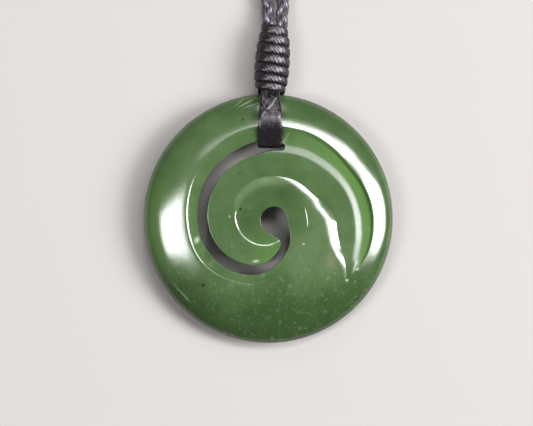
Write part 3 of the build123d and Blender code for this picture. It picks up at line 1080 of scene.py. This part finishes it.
def binding_piece():
    """The turns of cord round a plain core."""
    last = len(TURNS) - 1
    numbers = np.arange(-end_turn, last + end_turn, 1 / turn_steps)
    places, crowns = np.array(TURNS).T
    places = places * binding_length
    along = np.interp(numbers, np.arange(len(TURNS)), places)
    along += np.minimum(numbers, 0) * (places[1] - places[0])
    along += np.maximum(numbers - last, 0) * (places[-1] - places[-2])
    crowns = crowns * binding_bore / 2
    radius = np.interp(numbers, np.arange(len(TURNS)), crowns) - turn_height
    # Over the top each turn goes right and down.
    angle = pi / 2 + numbers * 2 * pi
    across, up = radius * np.cos(angle), radius * np.sin(angle)
    line = on_binding(across[:, None], along[:, None], up[:, None])
    half_width = np.gradient(along, numbers) * turn_width
    coil = sweep(line, binding_along, half_width, turn_height, TURN_SECTION)
    core_along, core_radius = np.array(BINDING_CORE).T
    line = on_binding(0, core_along[:, None], 0)
    core = sweep(line, binding_across, core_radius, core_radius, CORE_SECTION)
    cord_piece("binding_whipping", [coil, core], "binding", binding_painted_cord_sheen)


binding_piece()


# Strap
def rounded_line(points, radii, spacing):
    """A flat line of runs with an arc at each bend, as points a given length apart."""
    line = [points[0]]
    for before, corner, after, radius in zip(points, points[1:], points[2:], radii):
        back, on = unit(np.array([before - corner, after - corner]))
        half = np.arccos(np.clip(back @ on, -1, 1)) / 2
        reach = radius / tan(half)
        middle = corner + (back + on) / np.linalg.norm(back + on) * radius / sin(half)
        first = corner + back * reach - middle
        last = corner + on * reach - middle
        swept = pi - 2 * half
        for t in np.arange(arc_steps + 1) / arc_steps:
            turned = (first * sin((1 - t) * swept) + last * sin(t * swept)) / sin(swept)
            line.append(middle + turned)
    line.append(points[-1])
    return even_points(line, spacing)


def strap_points():
    """Corners of the strap's middle line, seen from the side."""
    floor_height = strap_thickness / 2
    core = binding_start + binding_along * mouth_depth
    core_offset = (binding_bore - strap_thickness) / 2 - gap
    slit_foot = on_stone(0, strap_y, 0)
    over_ring = [
        on_stone(0, distance * disc_radius, height * disc_thickness)
        for distance, height in STRAP_OVER_RING
    ]
    return [
        vector(core[1], core[2] - core_offset),
        vector(disc_radius * under_rim_share, floor_height),
        vector(slit_foot[1], floor_height),
        *[point[1:] for point in over_ring],
        vector(core[1], core[2] + core_offset),
    ]


# Lengths along the strap's front, its half width there and how far its strands cross
STRAP_SPREAD = [
    (0.0, 1.45, 1.0), (2.0, 1.55, 1.0), (4.0, 1.75, 1.0),
    (5.6, 1.9, 0.8), (6.8, 1.95, 0.0), (12.0, 1.9, 0.0),
]
strap_strands = 6
strand_half_width = 0.43
strand_half_height = 0.24
flat_strand_share = 0.5  # of that height where the strands lie side by side
strand_lift = 0.12  # of the strands' middles over the strap's
crossing_drop = 0.09
strand_swing = 0.1
knot_end = (2.0, 3.0)  # where the strap's tight start goes over into its crossing strands
knot_swell = 0.4
body_margin = 0.12  # of the flat body inside the strap's edges
body_half_height = 0.2
strap_crossing_length = 10.0
strap_point_spacing = 0.1
# Painted sheen of the strap
strap_painted_cord_sheen = 0.01


def strap_piece():
    """A flat body with strands that cross over the ring and lie side by side below it."""
    radii = [strap_crest_bend, strap_bend, strap_bend, strap_crest_bend, strap_crest_bend]
    line = rounded_line(strap_points(), radii, strap_point_spacing)[::-1]
    middle = np.column_stack([np.full(len(line), strap_centre), line])
    sideways = vector(1, 0, 0)
    out = np.cross(sideways, unit(np.gradient(middle, axis=0)))
    along = np.arange(len(line)) * strap_point_spacing
    stops, half_widths, crossings = np.array(STRAP_SPREAD).T
    half_width = np.interp(along, stops, half_widths)
    crossing = np.interp(along, stops, crossings)
    knot = 1 - fade(along, *knot_end)
    reach = half_width - strand_half_width
    share = flat_strand_share + (1 - flat_strand_share) * crossing + knot_swell * knot
    parts = [sweep(middle, sideways, half_width - body_margin, body_half_height, BODY_SECTION)]
    for number in range(strap_strands):
        lane = 2 * number / (strap_strands - 1) - 1
        way = 1 if number % 2 else -1
        turn = 2 * pi * (way * along / strap_crossing_length + number / strap_strands)
        offset = reach * ((1 - crossing) * lane + crossing * np.sin(turn))
        lift = strand_lift - crossing_drop * crossing
        lift += strand_swing * (crossing + knot) * np.cos(turn)
        centre = middle + offset[:, None] * sideways + lift[:, None] * out
        section = STRAND_SECTION._replace(lay=STRAND_SECTION.lay * way)
        height = strand_half_height * share
        parts.append(sweep(centre, sideways, strand_half_width, height, section))
    cord_piece("strap_strands", parts, "cord_bail", strap_painted_cord_sheen)


strap_piece()


# Plaits
plait_length = 7.0  # of one round of its strands
plait_strands = 3
plait_spacing = 0.35  # between rings of points
plait_inside = 2.0  # from its start to the binding's end
plait_inside_offset = 0.8
plait_swing = 0.5
plait_weave = 0.36
plait_half_width = 0.52
plait_half_height = 0.5
# Painted sheen of the plaits
plait_painted_cord_sheen = 0.8


def route_points(name, route):
    """Points of the smooth line that a route's points control, in mm."""
    curve = bpy.data.curves.new(name, "CURVE")
    curve.dimensions = "3D"
    curve.resolution_u = 24
    spline = curve.splines.new("NURBS")
    spline.points.add(len(route) - 1)
    for point, place in zip(spline.points, np.array(route) * MM):
        point.co = (*place, 1.0)
    spline.order_u = 3
    spline.use_endpoint_u = True
    holder = bpy.data.objects.new(name, curve)
    mesh = bpy.data.meshes.new_from_object(holder)
    line = np.array([vertex.co for vertex in mesh.vertices]) / MM
    bpy.data.objects.remove(holder)
    bpy.data.meshes.remove(mesh)
    return line


def plait_piece(name, side, route, node):
    exit_place = on_binding(side * (cord_diameter + gap) / 2, binding_length + exit_gap, 0)
    inner_place = on_binding(side * plait_inside_offset, binding_length - plait_inside, 0)
    line = route_points(name, [exit_place, *route])
    line = even_points(np.vstack([[inner_place], line]), plait_spacing)
    # Both run clockwise round the loop. They are counted from the far side, where they meet.
    if side > 0:
        line = line[::-1]
    along = lengths_along(line)
    if side < 0:
        along -= along[-1]
    ahead = unit(np.gradient(line, axis=0))
    sideways = unit(np.cross(ahead, vector(0, 0, 1)))
    up = np.cross(sideways, ahead)
    parts = []
    for number in range(plait_strands):
        turn = 2 * pi * (along / plait_length + number / plait_strands)
        offset = plait_swing * np.sin(turn)
        lift = plait_weave * np.sin(2 * turn)
        centre = line + offset[:, None] * sideways + lift[:, None] * up
        parts.append(sweep(centre, sideways, plait_half_width, plait_half_height, PLAIT_SECTION))
    cord_piece(name, parts, node, plait_painted_cord_sheen)


plait_piece("neck_plait_left", -1, LEFT_ROUTE, "neck_cord_left")
plait_piece("neck_plait_right", 1, RIGHT_ROUTE, "neck_cord_right")


# Floor
floor_corners = [(-3, -3, 0), (3, -3, 0), (3, 3, 0), (-3, 3, 0)]  # metres
floor_mesh = bpy.data.meshes.new("floor")
floor_mesh.from_pydata(floor_corners, [], [(0, 1, 2, 3)])
floor_inputs = {"Base Color": (0.21, 0.2, 0.195, 1.0), "Roughness": 0.7}
floor_mesh.materials.append(new_material("floor", lambda tree: floor_inputs))
floor = bpy.data.objects.new("floor", floor_mesh)
bpy.context.scene.collection.objects.link(floor)

# Lights a metre away, over the stone: tilt from straight up and azimuth in degrees, sizes in
# metres and radiance
Softbox = namedtuple("Softbox", "name shape tilt azimuth length width turn radiance")
SOFTBOXES = [Softbox(*row) for row in (
    ("left", "RECTANGLE", 30.6, 192.8, 0.42, 0.262, 0, 18),
    ("right", "ELLIPSE", 51.2, -3.0, 0.56, 0.54, 0, 18),
    ("low_right", "ELLIPSE", 39.4, -20.5, 0.19, 0.19, 0, 6),
    ("top_right", "RECTANGLE", 26.4, 50.5, 0.588, 0.19, -54.5, 18),
    ("between", "RECTANGLE", 44.0, 8.1, 0.447, 0.32, -27.5, 18),
    ("top_left", "RECTANGLE", 20.0, 115.0, 0.09, 0.36, 0, 4.0),
    ("above", "RECTANGLE", 50.0, 89.0, 0.30, 0.04, 0, 45),
)]
watts_for_radiance = 4  # for each square metre
sky_strength = 0.12


def direction(tilt_degrees, azimuth_degrees):
    """One long, at a tilt from straight up and an azimuth."""
    slope, azimuth = radians(tilt_degrees), radians(azimuth_degrees)
    return Vector((sin(slope) * cos(azimuth), sin(slope) * sin(azimuth), cos(slope)))


def softbox(box):
    light = bpy.data.lights.new(box.name, "AREA")
    light.shape = box.shape
    light.size = box.length
    light.size_y = box.width
    filled = pi / 4 if box.shape == "ELLIPSE" else 1
    light.energy = box.radiance * box.length * box.width * filled * watts_for_radiance
    place = direction(box.tilt, box.azimuth)
    radial = direction(box.tilt + 90, box.azimuth)
    turned = radians(box.turn)
    along = radial * cos(turned) + place.cross(radial) * sin(turned)
    axes = Matrix((along, place.cross(along), place)).transposed()
    holder = bpy.data.objects.new(box.name, light)
    holder.matrix_world = Matrix.Translation(place) @ axes.to_4x4()
    bpy.context.scene.collection.objects.link(holder)


for box in SOFTBOXES:
    softbox(box)

world = bpy.data.worlds.new("studio")
world.use_nodes = True
background = world.node_tree.nodes["Background"]
background.inputs["Color"].default_value = (1.0, 1.0, 1.0, 1.0)
background.inputs["Strength"].default_value = sky_strength
bpy.context.scene.world = world
bpy.context.scene.view_settings.view_transform = "Standard"
